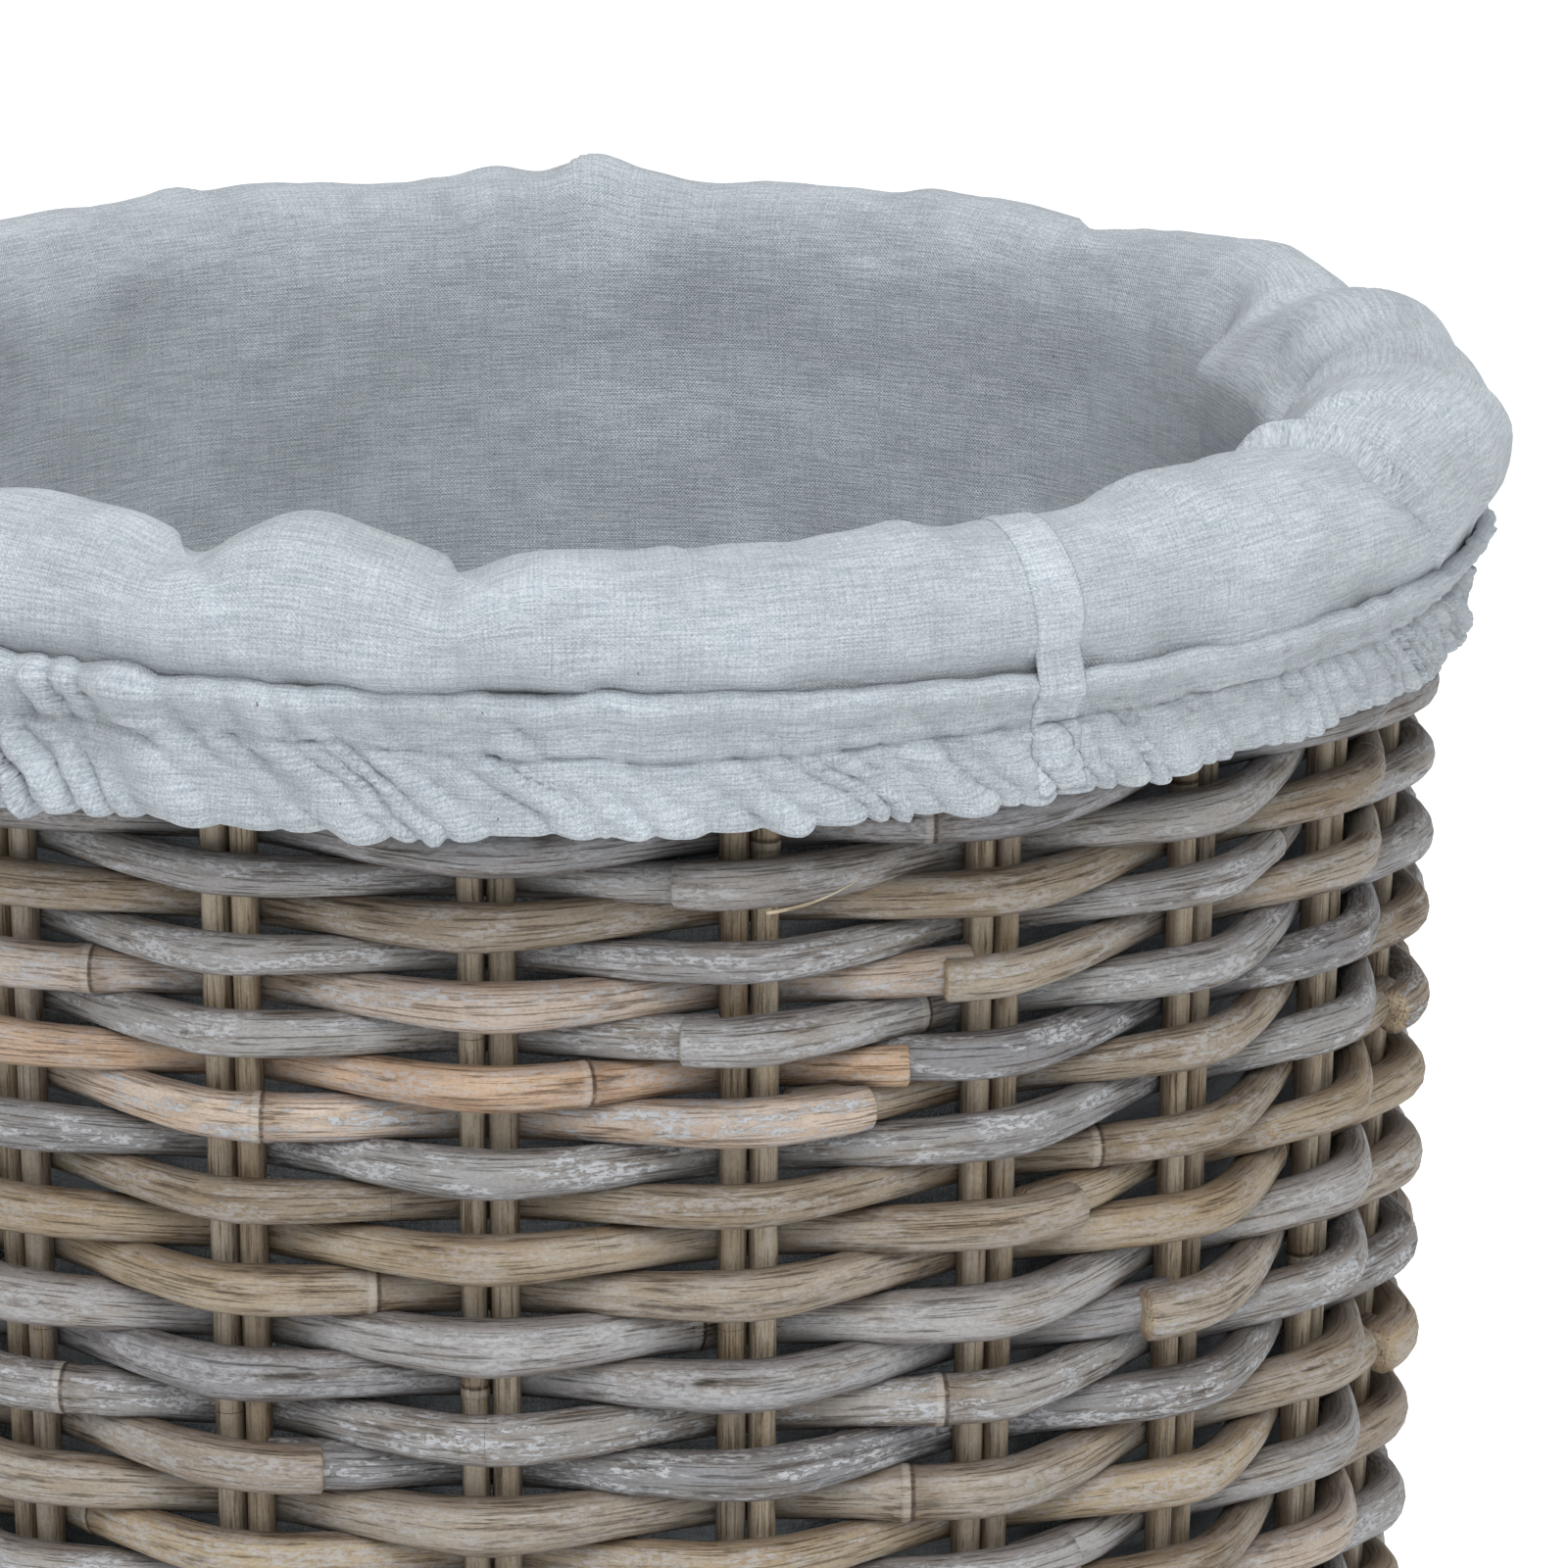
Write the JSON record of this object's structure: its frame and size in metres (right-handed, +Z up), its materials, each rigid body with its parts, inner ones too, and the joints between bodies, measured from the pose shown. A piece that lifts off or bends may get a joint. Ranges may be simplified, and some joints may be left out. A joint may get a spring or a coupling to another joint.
{
  "type": "laundry basket",
  "caption": "Tall round tapered wicker laundry basket woven on paired upright stakes, with a lift-out cloth liner turned over the rim and gathered below it.",
  "frame": {"origin": "centre of the foot's underside, on the floor", "axes": "+Z up the basket's centre line; -Y is the front, where stake pair 1 stands"},
  "size_m": [0.4208, 0.422, 0.5413],
  "materials": {
    "weaver_cane": "weathered grey and greige skin-on rattan strands with dark speckles, a lengthwise grain and a low satin sheen",
    "stake_cane": "buff skin-on rattan rods, satin, with cane-node rings",
    "border_cane": "grey-brown rattan, satin, worn lighter on the crowns",
    "base_cane": "dull unsanded rattan",
    "liner_cotton": "pale blue-grey plain-weave cotton and linen, slubbed, matt, creased at the gathers",
    "elastic": "white knitted elastic tape"
  },
  "bodies": {
    "basket": {"foot_border": "border_cane", "base_weave": "base_cane", "base_sticks_under": "base_cane", "base_sticks_over": "base_cane", "upset_wale": "border_cane", "side_course_1": "weaver_cane", "side_course_2": "weaver_cane", "side_course_3": "weaver_cane", "top_wale": "border_cane", "stake_01_left": "stake_cane", "stake_01_right": "stake_cane", "stake_02_left": "stake_cane", "stake_02_right": "stake_cane", "stake_03_left": "stake_cane", "stake_03_right": "stake_cane", "stake_04_left": "stake_cane", "stake_04_right": "stake_cane", "stake_05_left": "stake_cane", "stake_05_right": "stake_cane", "stake_06_left": "stake_cane", "stake_06_right": "stake_cane", "stake_07_left": "stake_cane", "stake_07_right": "stake_cane", "stake_08_left": "stake_cane", "stake_08_right": "stake_cane", "stake_09_left": "stake_cane", "stake_09_right": "stake_cane", "stake_10_left": "stake_cane", "stake_10_right": "stake_cane", "stake_11_left": "stake_cane", "stake_11_right": "stake_cane", "stake_12_left": "stake_cane", "stake_12_right": "stake_cane", "stake_13_left": "stake_cane", "stake_13_right": "stake_cane", "stake_14_left": "stake_cane", "stake_14_right": "stake_cane", "stake_15_left": "stake_cane", "stake_15_right": "stake_cane", "stake_16_left": "stake_cane", "stake_16_right": "stake_cane", "stake_17_left": "stake_cane", "stake_17_right": "stake_cane", "stake_18_left": "stake_cane", "stake_18_right": "stake_cane", "stake_19_left": "stake_cane", "stake_19_right": "stake_cane", "stake_20_left": "stake_cane", "stake_20_right": "stake_cane", "stake_21_left": "stake_cane", "stake_21_right": "stake_cane", "rim_border": "border_cane", "rim_hoop": "stake_cane"},
    "liner": {"liner_body": "liner_cotton", "liner_bottom": "liner_cotton", "hem_casing": "liner_cotton", "hem_elastic": "elastic", "side_seam": "liner_cotton"}
  },
  "joints": [
    {"name": "liner_lift", "type": "slide", "parent": "basket", "child": "liner", "axis": [0, 0, 1], "range_m": [0, 0.53]}
  ]
}
